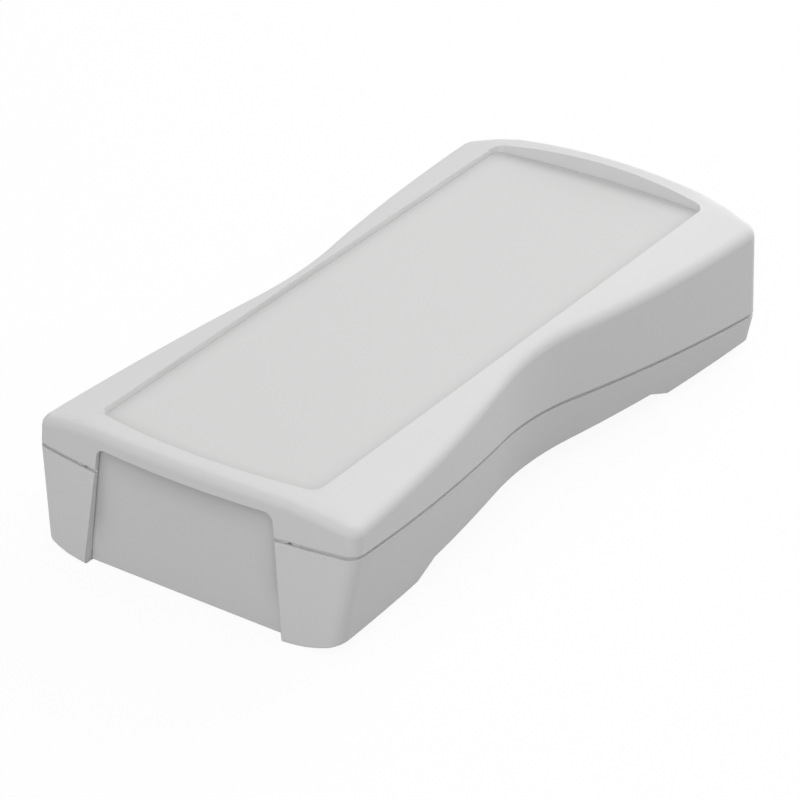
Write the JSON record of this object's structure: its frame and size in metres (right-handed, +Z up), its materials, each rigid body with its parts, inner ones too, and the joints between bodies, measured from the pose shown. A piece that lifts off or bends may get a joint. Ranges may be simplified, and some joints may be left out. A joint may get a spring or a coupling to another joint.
{
  "type": "handheld enclosure",
  "caption": "Hourglass handheld case of moulded half shells with a slanting split, a sunk keypad field on the crowned top, low feet and a separate flat end panel.",
  "frame": {"origin": "middle of the case's box in plan, on the floor that the feet stand on", "axes": "+Z up from the floor, -Y towards the end with the flat panel, X across the case"},
  "size_m": [0.0854, 0.1601, 0.0352],
  "materials": {
    "shell_plastic": "fine matt moulded texture",
    "panel_plastic": "matt",
    "screw_steel": "zinc plated"
  },
  "bodies": {
    "root": {"upper_shell": "shell_plastic", "lower_shell": "shell_plastic", "end_panel": "panel_plastic", "case_screws": "screw_steel"}
  },
  "joints": []
}
